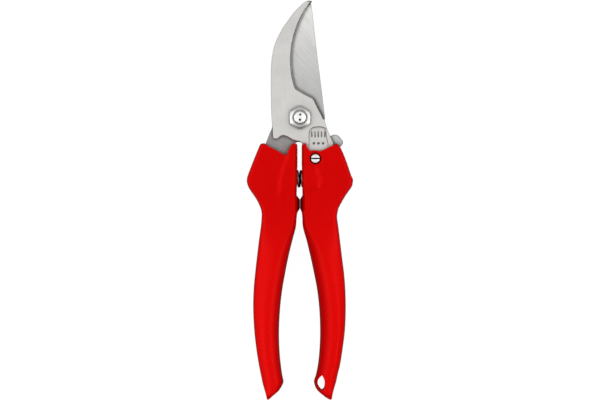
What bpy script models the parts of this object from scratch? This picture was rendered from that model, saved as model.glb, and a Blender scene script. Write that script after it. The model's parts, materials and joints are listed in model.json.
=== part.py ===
"""Bypass pruner: hooked counter blade, cutting blade, two moulded handles,
pivot, return spring and thumb catch.

The tool lies on its back. X is across, Y runs from the handle ends (-Y) to the
tips (+Y), and Z is up out of the front face. Z = 0 is the surface it rests on.
The pruner is closed and the catch is off. Sizes below are in millimetres and are
turned into metres as each piece is made.
"""
from math import cos, hypot, pi, radians, sin

import bmesh
import bpy
from mathutils import Vector

MM = 0.001

# ---- overall
PIVOT = (0.0, 39.2)
HANDLE_THICK = 16.0
MID_Z = HANDLE_THICK / 2
FIT = 0.3                       # play left between pieces that touch

# ---- plates: the cutting blade lies behind the counter blade
BLADE_Z = (5.3, 7.7)
HOOK_Z = (8.0, 10.8)
BLADE_BEVEL = 3.4               # width of the ground bevel, at the back
HOOK_BEVEL = 1.1                # width of the hook's bevel, at the front
PLATE_HOLE_R = 3.3
BLADE_BUSH_R = 4.1

# ---- pivot
BOLT_R = 3.0
BOLT_HEAD_R = 6.2
BOLT_HEAD_Z = (1.2, 4.1)
BOLT_TOP_Z = 16.0
WASHER_Z = (4.3, 5.05)
WASHER_R = 6.8
NUT_FLATS = 9.6
NUT_Z = (11.0, 15.4)
NUT_BORE_R = 3.15
INSERT_R = 3.5
INSERT_Z = (13.9, 15.1)

# ---- handles
GAP_MID = 0.0
EDGE_ROUND = 4.2
# one handle, station by station: height Y, then how far its inner and its outer
# side stand from the middle of the gap
HANDLE_STATIONS = [
    (-94.9, 14.6, 15.7), (-94.2, 13.4, 16.2), (-93.0, 11.9, 16.5), (-91.2, 10.2, 17.0),
    (-89.4, 9.0, 17.4), (-87.4, 8.2, 17.9), (-85.9, 8.0, 18.3), (-83.0, 8.4, 18.9),
    (-78.0, 9.1, 19.8), (-71.0, 9.7, 21.0), (-62.0, 9.9, 22.0), (-52.0, 9.7, 22.6),
    (-43.0, 8.4, 22.3), (-35.0, 6.9, 21.5), (-27.0, 5.4, 20.6), (-19.5, 3.7, 19.7),
    (-13.0, 2.2, 18.9), (-8.6, 1.5, 18.5), (-6.0, 1.3, 18.5), (-3.9, 0.2, 18.9),
    (0.2, 0.2, 20.8), (2.2, 1.7, 22.0), (4.2, 1.9, 23.4), (6.4, 1.4, 24.8),
    (8.6, 1.3, 25.3), (10.0, 1.3, 25.2), (12.0, 1.3, 24.6), (17.0, 1.3, 22.8),
    (21.0, 1.3, 21.2), (24.6, 1.3, 19.7), (26.3, 1.4, 18.8), (26.9, 1.9, 18.0),
]
# the right handle's shoulder stands a little further out
RIGHT_TAB = {6.4: 25.3, 8.6: 25.55, 10.0: 25.5}
# the right handle's end is wider on its inner side, round the hang hole
HANG_LOBE = {-78.0: 8.9, -83.0: 7.4, -85.9: 6.7, -87.4: 6.9, -89.4: 7.8, -91.2: 9.2,
             -93.0: 11.3, -94.2: 13.2}
HANG_HOLE = [(10.7, -83.2), (11.7, -85.0), (12.15, -87.2), (11.8, -89.4), (10.8, -90.4),
             (9.5, -89.2), (8.7, -87.4), (9.0, -85.2)]

# ---- return spring and its pockets
SPRING_Y = 10.1
POCKET_R = 6.0
POCKET_DEPTH = 8.2
SPRING_WIRE_R = 0.62
SPRING_WAIST_R = 3.5
SPRING_END_R = 4.6
SPRING_TURNS = 10
PEG_R = 3.2                     # moulded peg that locates each end of the spring
PEG_LENGTH = 2.6

# ---- catch
CATCH_AXIS = (7.3, 19.7)
CATCH_Z = (5.3, 7.7)
CATCH_BUSH_R = 2.8
CATCH_BOSS_R = 4.6
CATCH_NOSE_R = 11.6             # reach of the nose, from the catch's axis
CATCH_TAB_R = 15.5              # reach of the thumb tab
CATCH_SCREW_R = 2.0
CATCH_HEAD_R = 2.15
CATCH_RECESS_R = 2.8
CATCH_NUT_FLATS = 7.0

# ---- self-tapping screws in the backs of the handles
TANG_SCREW_R = 1.6
TANG_SCREW_HEAD_R = 3.1
TANG_SCREW_HEAD_Z = (0.7, 2.4)
TANG_SCREW_TOP_Z = 13.0
LEFT_SCREWS = {"left_upper_tang_screw": (-13.6, 17.6), "left_lower_tang_screw": (-13.9, -4.0)}
RIGHT_SCREWS = {"right_tang_screw": (13.7, -4.0)}


def clear_scene():
    for thing in list(bpy.data.objects):
        bpy.data.objects.remove(thing, do_unlink=True)


def material(name, colour, roughness, metallic):
    made = bpy.data.materials.new(name)
    made.use_nodes = True
    shader = made.node_tree.nodes["Principled BSDF"]
    shader.inputs["Base Color"].default_value = (*colour, 1.0)
    shader.inputs["Roughness"].default_value = roughness
    shader.inputs["Metallic"].default_value = metallic
    made.diffuse_color = (*colour, 1.0)
    return made


# ---- outlines -------------------------------------------------------------

def smooth(points, steps=4):
    """Points along a soft curve through the given ones, both ends included."""
    ends = [points[0], *points, points[-1]]
    out = []
    for i in range(1, len(ends) - 2):
        p0, p1, p2, p3 = ends[i - 1 : i + 3]
        for k in range(steps):
            t = k / steps
            out.append(
                tuple(
                    0.5
                    * (
                        2 * b
                        + (c - a) * t
                        + (2 * a - 5 * b + 4 * c - d) * t * t
                        + (3 * b - a - 3 * c + d) * t**3
                    )
                    for a, b, c, d in zip(p0, p1, p2, p3)
                )
            )
    return [*out, points[-1]]


def arc(middle, radius, start, end, steps):
    """Points on an arc, angles in degrees from +X."""
    turns = [radians(start + (end - start) * k / steps) for k in range(steps + 1)]
    return [(middle[0] + radius * cos(a), middle[1] + radius * sin(a)) for a in turns]


def outline(*runs):
    """One closed outline from runs of points, without doubled points."""
    out = []
    for run in runs:
        for p in run:
            if not out or hypot(p[0] - out[-1][0], p[1] - out[-1][1]) > 0.02:
                out.append(p)
    if hypot(out[0][0] - out[-1][0], out[0][1] - out[-1][1]) <= 0.02:
        out.pop()
    return out


def grown(points, by):
    """The outline pushed outward by an amount (negative pulls it in)."""
    area = sum(
        a[0] * b[1] - b[0] * a[1] for a, b in zip(points, [*points[1:], points[0]])
    )
    side = 1 if area > 0 else -1
    out = []
    for i, p in enumerate(points):
        before, after = points[i - 1], points[(i + 1) % len(points)]
        d1 = Vector((p[0] - before[0], p[1] - before[1])).normalized()
        d2 = Vector((after[0] - p[0], after[1] - p[1])).normalized()
        n = Vector((d1.y + d2.y, -d1.x - d2.x)) * side
        if n.length < 1e-6:
            n = Vector((d1.y, -d1.x)) * side
        n.normalize()
        stretch = max(n.dot(Vector((d1.y, -d1.x)) * side), 0.6)
        out.append((p[0] + n.x * by / stretch, p[1] + n.y * by / stretch))
    return out


# ---- solids ---------------------------------------------------------------

def add(name, mesh_data, origin=(0.0, 0.0, 0.0), look=None):
    """An object from a bmesh in millimetres, with its origin where asked."""
    bmesh.ops.recalc_face_normals(mesh_data, faces=mesh_data.faces)
    if mesh_data.calc_volume(signed=True) < 0:
        bmesh.ops.reverse_faces(mesh_data, faces=mesh_data.faces)
    for v in mesh_data.verts:
        v.co = (v.co - Vector(origin)) * MM
    mesh = bpy.data.meshes.new(name)
    mesh_data.to_mesh(mesh)
    mesh_data.free()
    thing = bpy.data.objects.new(name, mesh)
    thing.location = Vector(origin) * MM
    bpy.context.scene.collection.objects.link(thing)
    if look:
        mesh.materials.append(look)
    return thing


def rings_solid(rings):
    """A closed solid from stacked rings with equal numbers of points."""
    bm = bmesh.new()
    rows = [[bm.verts.new(p) for p in ring] for ring in rings]
    bm.faces.new(list(reversed(rows[0])))
    bm.faces.new(rows[-1])
    for low, high in zip(rows, rows[1:]):
        for i in range(len(low)):
            j = (i + 1) % len(low)
            bm.faces.new((low[i], low[j], high[j], high[i]))
    return bm


def prism(name, points, low, high, origin=(0.0, 0.0, 0.0), look=None, chamfer=0.0):
    """An outline extruded from one height to another, edges eased if asked."""
    layers = [(0.0, low), (0.0, high)]
    if chamfer:
        layers = [(-chamfer, low), (0, low + chamfer), (0, high - chamfer), (-chamfer, high)]
    rings = [[(*p, z) for p in (grown(points, by) if by else points)] for by, z in layers]
    return add(name, rings_solid(rings), origin, look)


def turned(name, middle, profile, look=None, sides=32, turn=0.0):
    """A solid of revolution about a vertical line, profile is (radius, z) from
    the bottom up, outer skin then (if it has a bore) back down the bore."""
    bm = bmesh.new()
    rows = []
    for radius, z in profile:
        row = []
        for k in range(sides):
            a = 2 * pi * k / sides + turn
            row.append(bm.verts.new((middle[0] + radius * cos(a), middle[1] + radius * sin(a), z)))
        rows.append(row)
    for low, high in zip(rows, rows[1:]):
        for i in range(sides):
            j = (i + 1) % sides
            bm.faces.new((low[i], low[j], high[j], high[i]))
    bm.faces.new(list(reversed(rows[0])))
    bm.faces.new(rows[-1])
    return add(name, bm, (*middle, 0.0), look)


def ring(name, middle, inner, outer, low, high, look=None, sides=28):
    """A washer or sleeve."""
    path = [(inner, low), (outer, low), (outer, high), (inner, high)]
    bm = bmesh.new()
    rows = []
    for radius, z in path:
        row = []
        for k in range(sides):
            a = 2 * pi * k / sides
            row.append(bm.verts.new((middle[0] + radius * cos(a), middle[1] + radius * sin(a), z)))
        rows.append(row)
    for low_row, high_row in zip(rows, [*rows[1:], rows[0]]):
        for i in range(sides):
            j = (i + 1) % sides
            bm.faces.new((low_row[i], low_row[j], high_row[j], high_row[i]))
    return add(name, bm, (*middle, 0.0), look)


def hexagon(middle, flats, turn=30.0):
    reach = flats / 2 / cos(pi / 6)
    return arc(middle, reach, turn, turn + 300, 5)


def circle(middle, radius, sides=24):
    return arc(middle, radius, 0, 360 - 360 / sides, sides - 1)


def cut(body, *cutters):
    """Takes each cutter out of the body with an exact boolean."""
    for cutter in cutters:
        change = body.modifiers.new("cut " + cutter.name, "BOOLEAN")
        change.operation = "DIFFERENCE"
        change.solver = "EXACT"
        change.object = cutter
        cutter.hide_render = True
        cutter.display_type = "WIRE"


def hole(name, middle, radius, low, high, sides=24):
    return prism(name, circle(middle, radius, sides), low, high)


# ---- the plates -----------------------------------------------------------

def blade_tang():
    """The blade's tang: its outer side going down, then its inner side going up."""
    out = smooth([(-15.8, 27.1), (-17.0, 21.0), (-17.6, 13.0), (-17.2, 5.0), (-16.2, -2.0),
                  (-15.9, -6.5), (-14.2, -9.0), (-12.2, -7.5)], 3)
    back = smooth([(-12.2, -7.5), (-11.6, -1.0), (-11.8, 6.0), (-11.6, 12.0), (-10.2, 16.0),
                   (-6.8, 17.6), (-3.4, 19.4), (-2.9, 22.5), (-2.3, 26.9)], 3)
    return out, back


def hook_tang():
    out = smooth([(15.8, 27.2), (16.9, 21.0), (17.3, 13.0), (16.9, 5.0), (15.9, -2.0),
                  (15.6, -6.5), (13.9, -9.0), (11.9, -7.5)], 3)
    back = smooth([(11.9, -7.5), (11.3, -1.0), (11.5, 6.0), (11.3, 12.0), (9.9, 16.0),
                   (6.5, 16.9), (3.2, 17.6), (2.1, 20.5), (2.0, 24.0), (1.0, 27.0)], 3)
    return out, back


def blade_outline():
    """The cutting blade, run by run, and how many points its cutting edge has."""
    edge = smooth([(5.1, 94.2), (2.0, 89.9), (-0.9, 84.6), (-3.3, 79.0), (-5.0, 73.0),
                   (-6.0, 66.5), (-6.1, 60.0), (-5.7, 54.0)], 4)
    heel = smooth([(-5.7, 54.0), (-6.4, 51.2), (-9.0, 48.2), (-11.6, 44.0), (-12.7, 38.5),
                   (-13.4, 32.7), (-15.8, 27.1)], 3)
    tang_out, tang_in = blade_tang()
    low_disc = [(-1.5, 27.4), *arc(PIVOT, 11.6, 263, 289, 4)]
    # the notch that the catch's nose stands in, a tooth, and a second notch
    notch = [*arc(PIVOT, 9.0, 296, 312, 3)]
    tooth = [*arc(PIVOT, 10.9, 316, 323, 2)]
    second = [*arc(PIVOT, 9.0, 327, 344, 3)]
    corner = smooth([(9.6, 36.6), (11.2, 37.0), (11.9, 38.6), (11.75, 41.0)], 3)
    spine = smooth([(11.75, 41.0), (10.9, 49.0), (9.8, 57.1), (8.3, 66.7), (7.15, 76.7),
                    (6.3, 85.7), (5.95, 92.0), (5.3, 94.2)], 3)
    behind_pivot = [*low_disc, *notch, *tooth, *second]
    return edge, outline(edge, heel, tang_out, tang_in, behind_pivot, corner, spine)


def hook_outline():
    inner = smooth([(5.5, 94.7), (2.9, 90.9), (0.6, 86.6), (-1.3, 81.9), (-2.7, 77.3), (-3.6, 72.5),
                    (-4.0, 67.4), (-3.8, 62.5), (-3.1, 57.6), (-1.9, 53.6)], 3)
    shoulder = smooth([(-1.9, 53.6), (0.6, 51.9), (3.4, 50.3), (6.4, 48.8), (7.9, 46.1), (9.5, 42.9),
                       (11.1, 39.8), (12.6, 34.8), (14.7, 29.6), (15.8, 27.2)], 3)
    tang_out, tang_in = hook_tang()
    lower = smooth([(1.0, 27.0), (-0.2, 27.85), (-2.1, 28.2), (-4.1, 29.1), (-6.3, 30.3), (-8.2, 30.7),
                    (-9.5, 30.2), (-10.4, 29.4), (-11.6, 29.0), (-12.9, 29.4)], 3)
    back = smooth([(-12.9, 29.4), (-13.5, 33.0), (-13.8, 38.0), (-13.8, 52.0), (-13.8, 64.5),
                   (-13.3, 69.5), (-12.4, 74.0), (-10.6, 78.0), (-8.6, 81.9), (-6.3, 85.6), (-3.4, 89.5),
                   (0.4, 93.3), (4.3, 94.9), (5.5, 94.7)], 3)
    return inner, outline(inner, shoulder, tang_out, tang_in, lower, back)


def pulled_in(points, count, by, taper=3):
    """The outline with its first points moved inward, easing in at both ends."""
    inside = grown(points, -1.0)
    out = []
    for i, (p, q) in enumerate(zip(points, inside)):
        share = min(i / taper, (count - 1 - i) / taper, 1.0) if i < count else 0.0
        share = max(share, 0.0)
        out.append((p[0] + (q[0] - p[0]) * by * share, p[1] + (q[1] - p[1]) * by * share))
    return out


def cutting_blade(look):
    edge, points = blade_outline()
    back = pulled_in(points, len(edge), BLADE_BEVEL)
    low, high = BLADE_Z
    rings = [
        [(*p, low) for p in back],
        [(*p, high - 0.35) for p in points],
        [(*p, high) for p in points],
    ]
    blade = add("cutting_blade", rings_solid(rings), (*PIVOT, 0.0), look)
    holes = [hole("blade pivot hole", PIVOT, BLADE_BUSH_R + 0.2, low - 1, high + 1, 32)]
    for name, at in LEFT_SCREWS.items():
        holes.append(hole(name + " way through blade", at, TANG_SCREW_R + FIT, low - 1, high + 1))
    cut(blade, *holes)
    return blade


def counter_blade(look):
    inner, points = hook_outline()
    front = pulled_in(points, len(inner), HOOK_BEVEL)
    low, high = HOOK_Z
    rings = [
        [(*p, low) for p in points],
        [(*p, high - 0.9) for p in points],
        [(*p, high) for p in front],
    ]
    plate = add("counter_blade", rings_solid(rings), (*PIVOT, 0.0), look)
    holes = [hole("counter blade pivot hole", PIVOT, PLATE_HOLE_R, low - 1, high + 1, 32)]
    holes.append(hole("counter blade catch hole", CATCH_AXIS, CATCH_SCREW_R + FIT, low - 1, high + 1))
    for name, at in RIGHT_SCREWS.items():
        holes.append(hole(name + " way through tang", at, TANG_SCREW_R + FIT, low - 1, high + 1))
    cut(plate, *holes)
    return plate


# ---- the pivot ------------------------------------------------------------

def pivot(steel, bright, nylon):
    turned(
        "pivot_bolt",
        PIVOT,
        [
            (BOLT_HEAD_R - 1.0, BOLT_HEAD_Z[0]), (BOLT_HEAD_R - 0.2, BOLT_HEAD_Z[0] + 0.6),
            (BOLT_HEAD_R, BOLT_HEAD_Z[0] + 1.2), (BOLT_HEAD_R, BOLT_HEAD_Z[1]),
            (BOLT_R, BOLT_HEAD_Z[1]), (BOLT_R, BOLT_TOP_Z - 0.5), (BOLT_R - 0.5, BOLT_TOP_Z),
        ],
        bright,
    )
    ring("pivot_spring_washer", PIVOT, BOLT_R + 0.25, WASHER_R, *WASHER_Z, steel)
    ring("pivot_bush", PIVOT, BOLT_R + 0.15, BLADE_BUSH_R, BLADE_Z[0] - 0.1, BLADE_Z[1] + 0.15, steel)
    low, high = NUT_Z
    nut = prism("pivot_nut", hexagon(PIVOT, NUT_FLATS), low, high, (*PIVOT, 0.0), bright, 0.35)
    cut(
        nut,
        hole("nut bore", PIVOT, NUT_BORE_R, low - 1, high + 1, 32),
        hole("nut insert seat", PIVOT, INSERT_R + 0.1, INSERT_Z[0] - 0.15, high + 1, 32),
    )
    ring("pivot_nut_insert", PIVOT, BOLT_R + 0.12, INSERT_R, *INSERT_Z, nylon)


# ---- the handles ----------------------------------------------------------

def section(y, inner, outer, thick, side):
    """One rounded section across a handle, in the plane of its height."""
    half_x, half_z = (outer - inner) / 2, thick / 2
    round_x, round_z = min(EDGE_ROUND, half_x * 0.85), min(EDGE_ROUND, half_z * 0.8)
    middle = GAP_MID + side * (inner + outer) / 2
    points = []
    for sx, sz, first in ((1, 1, 0), (-1, 1, 90), (-1, -1, 180), (1, -1, 270)):
        for k in range(4):
            a = radians(first + 30 * k)
            x = sx * (half_x - round_x) + round_x * cos(a)
            z = sz * (half_z - round_z) + round_z * sin(a)
            points.append((middle + x, y, MID_Z + z))
    return points


def handle_body(name, side, look):
    rings = []
    last = len(HANDLE_STATIONS) - 1
    for i, (y, inner, outer) in enumerate(HANDLE_STATIONS):
        if side > 0:
            inner, outer = HANG_LOBE.get(y, inner), RIGHT_TAB.get(y, outer)
        thin = {0: 4.0, 1: 1.6, 2: 0.5, last: 2.4, last - 1: 0.7}.get(i, 0.0)
        rings.append(section(y, inner, outer, HANDLE_THICK - thin, side))
    return add(name, rings_solid(rings), (*PIVOT, 0.0), look)


def pocket(name, side):
    """The cutter for a spring pocket, leaving a peg on the pocket's floor."""
    floor = 1.3 + POCKET_DEPTH
    path = [(0.0, -1.0), (POCKET_R, -1.0), (POCKET_R, floor), (PEG_R, floor),
            (PEG_R, floor - PEG_LENGTH), (0.0, floor - PEG_LENGTH)]
    bm = bmesh.new()
    rows = []
    for radius, depth in path:
        row = []
        for k in range(24):
            a = 2 * pi * k / 24
            at = (GAP_MID + side * depth, SPRING_Y + radius * cos(a), MID_Z + radius * sin(a))
            row.append(bm.verts.new(at if radius else (at[0], SPRING_Y, MID_Z)))
            if not radius:
                break
        rows.append(row)
    for near, far in zip(rows, rows[1:]):
        for k in range(24):
            j = (k + 1) % 24
            if len(near) == 1:
                bm.faces.new((near[0], far[k], far[j]))
            elif len(far) == 1:
                bm.faces.new((near[k], near[j], far[0]))
            else:
                bm.faces.new((near[k], near[j], far[j], far[k]))
    return add(name, bm)


def tang_slot(name, runs, above, low, high):
    """The slot for a tang, open at the handle's top."""
    points = grown(outline(*runs, above), FIT)
    return prism(name, points, low - FIT, high + FIT)


def screw_way(name, at):
    """Counterbore in the back and the pilot bore for one self-tapping screw."""
    head = hole(name + " head seat", at, TANG_SCREW_HEAD_R + 0.25, -1.0, TANG_SCREW_HEAD_Z[1] + 0.2)
    bore = hole(name + " bore", at, TANG_SCREW_R + 0.15, -1.0, TANG_SCREW_TOP_Z + 0.3)
    return head, bore


def left_handle(look):
    body = handle_body("left_handle", -1, look)
    notch = [(-16.6, 28.0), (-15.4, 26.4), (-13.6, 25.0), (-11.2, 23.6), (-8.8, 22.2), (-6.4, 20.9),
             (-5.8, 22.8), (-4.6, 25.4), (-3.5, 26.9), (-3.5, 28.0)]
    above = [(-2.2, 30.0), (-16.4, 30.0)]
    cut(body, prism("left top notch", notch, -1.0, HANDLE_THICK + 1.0))
    cut(body, tang_slot("left tang slot", blade_tang(), above, *BLADE_Z))
    cut(body, pocket("left spring pocket", -1))
    for name, at in LEFT_SCREWS.items():
        cut(body, *screw_way(name, at))


def right_handle(look):
    body = handle_body("right_handle", 1, look)
    x, y = CATCH_AXIS
    notch = [(2.7, 28.0), (2.8, 26.2), (3.6, 24.6), (4.5, 23.5), (5.3, 23.2), (6.3, 23.45),
             (7.3, 23.55), (8.3, 23.45), (9.5, 23.15), (10.4, 23.4), (18.1, 27.0), (18.8, 28.0)]
    above = [(1.0, 30.0), (16.4, 30.0)]
    slot_low, slot_high = CATCH_Z[0] - FIT, CATCH_Z[1] + FIT + 0.2
    swing = [(x, y), *arc(CATCH_AXIS, 20.0, 12, 106, 8)]
    cut(body, prism("right top notch", notch, -1.0, HANDLE_THICK + 1.0))
    cut(body, tang_slot("right tang slot", hook_tang(), above, *HOOK_Z))
    cut(body, prism("catch swing", swing, slot_low, slot_high))
    cut(body, hole("catch boss seat", CATCH_AXIS, CATCH_BOSS_R + FIT, slot_low, slot_high, 32))
    cut(body, hole("catch washer seat", CATCH_AXIS, 4.5, slot_low - 0.9, slot_low + 0.1, 32))
    cut(body, hole("catch screw bore", CATCH_AXIS, CATCH_SCREW_R + 0.25, -1.0, HANDLE_THICK + 1.0))
    cut(body, hole("catch head seat", CATCH_AXIS, CATCH_RECESS_R, 12.0, HANDLE_THICK + 1.0, 32))
    cut(body, prism("catch nut seat", hexagon(CATCH_AXIS, CATCH_NUT_FLATS + 0.5), -1.0, 3.0))
    cut(body, pocket("right spring pocket", 1))
    teardrop = smooth([*HANG_HOLE, HANG_HOLE[0]], 2)[:-1]
    cut(body, prism("hang hole cut", teardrop, -1.0, HANDLE_THICK + 1.0))
    for name, at in RIGHT_SCREWS.items():
        cut(body, *screw_way(name, at))


def tang_screw(name, at, look):
    low, high = TANG_SCREW_HEAD_Z
    turned(
        name,
        at,
        [
            (TANG_SCREW_HEAD_R - 0.7, low), (TANG_SCREW_HEAD_R, low + 0.6), (TANG_SCREW_HEAD_R, high),
            (TANG_SCREW_R, high), (TANG_SCREW_R, TANG_SCREW_TOP_Z - 2.0), (0.4, TANG_SCREW_TOP_Z),
        ],
        look,
        20,
    )


# ---- the catch ------------------------------------------------------------

def polar(middle, places):
    return [(middle[0] + r * cos(radians(a)), middle[1] + r * sin(radians(a))) for r, a in places]


def catch(grey, bright, steel):
    low, high = CATCH_Z
    boss = arc(CATCH_AXIS, CATCH_BOSS_R, 112, 370, 14)
    arm = [(7.0, 21), (10.0, 24.5), (13.0, 25.5)]
    tab = [(14.9, 28.5), (15.5, 33), (CATCH_TAB_R, 37), (CATCH_TAB_R, 42), (15.3, 47),
           (14.6, 51.5), (13.3, 55.5)]
    between = [(10.8, 61), (9.4, 67)]
    nose = [(9.8, 73), (11.3, 74.5), (CATCH_NOSE_R, 77), (CATCH_NOSE_R, 82), (11.4, 84.5),
            (8.0, 88), (5.4, 99)]
    points = outline(boss, polar(CATCH_AXIS, [*arm, *tab, *between, *nose]))
    lever = prism("catch_lever", points, low, high, (*CATCH_AXIS, 0.0), grey, 0.25)
    cut(lever, hole("catch lever bore", CATCH_AXIS, CATCH_BUSH_R + 0.15, low - 1, high + 1))
    ring("catch_bush", CATCH_AXIS, CATCH_SCREW_R + 0.15, CATCH_BUSH_R, low - 0.1, high + 0.1, steel, 24)
    ring("catch_wave_washer", CATCH_AXIS, CATCH_SCREW_R + 0.3, 4.2, low - 0.95, low - 0.5, steel)
    screw = turned(
        "catch_screw",
        CATCH_AXIS,
        [
            (CATCH_SCREW_R - 0.3, 0.9), (CATCH_SCREW_R, 1.2), (CATCH_SCREW_R, 12.3),
            (CATCH_HEAD_R, 12.3), (CATCH_HEAD_R, 15.2), (CATCH_HEAD_R - 0.3, 15.5),
        ],
        bright,
        28,
    )
    x, y = CATCH_AXIS
    slot = [(x - 4, y - 0.35), (x + 4, y - 0.35), (x + 4, y + 0.35), (x - 4, y + 0.35)]
    cut(screw, prism("catch screw slot", slot, 14.4, 17.0))
    corners = hexagon(CATCH_AXIS, CATCH_NUT_FLATS)
    nut = prism("catch_nut", corners, 0.6, 2.8, (*CATCH_AXIS, 0.0), steel, 0.25)
    cut(nut, hole("catch nut bore", CATCH_AXIS, CATCH_SCREW_R + 0.12, -1.0, 4.0))


# ---- the return spring ----------------------------------------------------

def return_spring(look):
    """A coil, narrow in the middle, whose ends stand in the handles' pockets."""
    reach = 1.3 + POCKET_DEPTH - 0.3 - SPRING_WIRE_R
    per_turn, sides = 14, 6
    count = SPRING_TURNS * per_turn
    bm = bmesh.new()
    rows = []
    for i in range(count + 1):
        share = i / count
        angle = 2 * pi * SPRING_TURNS * share - pi / 2
        out = abs(2 * share - 1)
        radius = SPRING_WAIST_R + (SPRING_END_R - SPRING_WAIST_R) * out**1.3
        x = GAP_MID + reach * (2 * share - 1)
        centre = Vector((x, SPRING_Y + radius * cos(angle), MID_Z + radius * sin(angle)))
        away = Vector((0, cos(angle), sin(angle)))
        along = Vector((1, 0, 0))
        row = []
        for k in range(sides):
            a = 2 * pi * k / sides
            row.append(bm.verts.new(centre + SPRING_WIRE_R * (away * cos(a) + along * sin(a))))
        rows.append(row)
    bm.faces.new(list(reversed(rows[0])))
    bm.faces.new(rows[-1])
    for near, far in zip(rows, rows[1:]):
        for k in range(sides):
            j = (k + 1) % sides
            bm.faces.new((near[k], near[j], far[j], far[k]))
    add("return_spring", bm, (GAP_MID + reach, SPRING_Y, MID_Z), look)


def build():
    clear_scene()
    hook_steel = material("hook_steel", (0.62, 0.61, 0.59), 0.38, 1.0)
    blade_steel = material("blade_steel", (0.30, 0.30, 0.30), 0.42, 1.0)
    bright = material("bright_steel", (0.80, 0.80, 0.79), 0.22, 1.0)
    plain_steel = material("plain_steel", (0.48, 0.48, 0.47), 0.40, 1.0)
    red = material("red_plastic", (0.62, 0.004, 0.004), 0.36, 0.0)
    nylon = material("dark_nylon", (0.05, 0.05, 0.06), 0.55, 0.0)
    spring_steel = material("spring_steel", (0.14, 0.14, 0.14), 0.35, 1.0)
    grey = material("catch_grey", (0.38, 0.39, 0.38), 0.45, 1.0)
    counter_blade(hook_steel)
    cutting_blade(blade_steel)
    pivot(plain_steel, bright, nylon)
    left_handle(red)
    right_handle(red)
    for name, at in {**LEFT_SCREWS, **RIGHT_SCREWS}.items():
        tang_screw(name, at, plain_steel)
    catch(grey, bright, plain_steel)
    return_spring(spring_steel)


build()
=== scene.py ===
"""Looks for the bypass pruner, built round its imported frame.

Sizes are in millimetres in the frame's own axes and become metres as each mesh is
made. The pivot and the catch axis come from the frame's joints, and heights come
from the boxes of the CAD nodes. Node trees, lights and the camera work in metres.
"""

import json
from math import atan2, cos, hypot, pi, radians, sin, tan

import bmesh
import bpy
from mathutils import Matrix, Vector

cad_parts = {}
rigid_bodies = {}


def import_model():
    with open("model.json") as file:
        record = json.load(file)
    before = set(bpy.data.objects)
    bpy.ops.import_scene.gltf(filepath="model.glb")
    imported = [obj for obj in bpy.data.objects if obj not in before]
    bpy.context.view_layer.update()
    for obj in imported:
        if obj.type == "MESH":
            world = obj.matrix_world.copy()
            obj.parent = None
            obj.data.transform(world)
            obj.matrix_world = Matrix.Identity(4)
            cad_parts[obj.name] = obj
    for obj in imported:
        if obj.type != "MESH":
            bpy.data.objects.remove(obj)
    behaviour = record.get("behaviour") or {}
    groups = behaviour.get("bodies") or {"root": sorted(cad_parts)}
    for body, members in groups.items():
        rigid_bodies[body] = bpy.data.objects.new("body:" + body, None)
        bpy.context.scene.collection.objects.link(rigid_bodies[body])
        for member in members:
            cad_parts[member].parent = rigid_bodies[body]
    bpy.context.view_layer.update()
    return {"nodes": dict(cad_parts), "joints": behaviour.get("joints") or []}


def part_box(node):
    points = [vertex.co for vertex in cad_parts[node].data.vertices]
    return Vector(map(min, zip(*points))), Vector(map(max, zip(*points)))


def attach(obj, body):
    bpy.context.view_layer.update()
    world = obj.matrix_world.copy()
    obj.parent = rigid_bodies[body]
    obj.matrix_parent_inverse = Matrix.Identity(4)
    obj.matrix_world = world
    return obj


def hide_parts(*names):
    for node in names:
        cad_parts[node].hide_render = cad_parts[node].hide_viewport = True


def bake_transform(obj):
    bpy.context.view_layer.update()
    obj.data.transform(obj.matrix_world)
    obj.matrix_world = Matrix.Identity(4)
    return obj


for thing in list(bpy.data.objects):
    bpy.data.objects.remove(thing, do_unlink=True)

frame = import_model()

MM = 0.001
HOOK = "hook_side"
BLADE = "blade_side"
CATCH = "catch"
LEFT, RIGHT = -1, 1              # the side of the middle that a handle is on

joints = {j["name"]: j for j in frame["joints"]}
PIVOT = tuple(1000 * c for c in joints["pruner_pivot"]["pos_m"][:2])
CATCH_AXIS = tuple(1000 * c for c in joints["catch_turn"]["pos_m"][:2])


def heights(node):
    """The lowest and highest points of a CAD node."""
    low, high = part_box(node)
    return 1000 * low.z, 1000 * high.z


HOOK_LOW, HOOK_HIGH = heights("counter_blade")
BLADE_LOW, BLADE_HIGH = heights("cutting_blade")
HANDLE_LOW, HANDLE_HIGH = heights("right_handle")
MID_Z = (HANDLE_LOW + HANDLE_HIGH) / 2
SPRING_Y = 500 * sum(corner.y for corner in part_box("return_spring"))

# tang screws: where they stand, and the holes that they need
BLADE_SCREWS = [(-13.6, 17.6), (-13.9, -4.0)]
HOOK_SCREW = (13.7, -4.0)
TANG_HOLE_R = 1.9
SCREW_HEAD_R, SCREW_HEAD_TOP = 3.35, 2.6
SCREW_SHANK_R, SCREW_SHANK_TOP = 1.75, 13.3

PAST = 1.0                       # how far a cutter runs past what it cuts
ROUND_SIDES = 72                 # sides of a turned piece
TIP_Y = 94.7                     # height of the plates' tips

# the widest angle between faces that still shades as one surface
SHARP = 32.0
HOOK_SHARP, BLADE_SHARP, GRIP_SHARP = 28.0, 30.0, 40.0
CATCH_SHARP, COIL_SHARP = 50.0, 50.0
NUT_SHARP, TURNED_SHARP = 24.0, 30.0


# ---------------------------------------------------------------- outlines

def soft(a, b, c, d, t):
    """The value a share t of the way from b to c, on a soft curve through all four."""
    bend = 2 * a - 5 * b + 4 * c - d
    twist = 3 * b - a - 3 * c + d
    return 0.5 * (2 * b + (c - a) * t + bend * t * t + twist * t**3)


def smooth(points, steps=10):
    """Points along a soft curve through the given ones, both ends included."""
    ends = [points[0], *points, points[-1]]
    out = []
    for four in zip(ends, ends[1:], ends[2:], ends[3:]):
        for k in range(steps):
            out.append(tuple(soft(*values, k / steps) for values in zip(*four)))
    return [*out, points[-1]]


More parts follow.
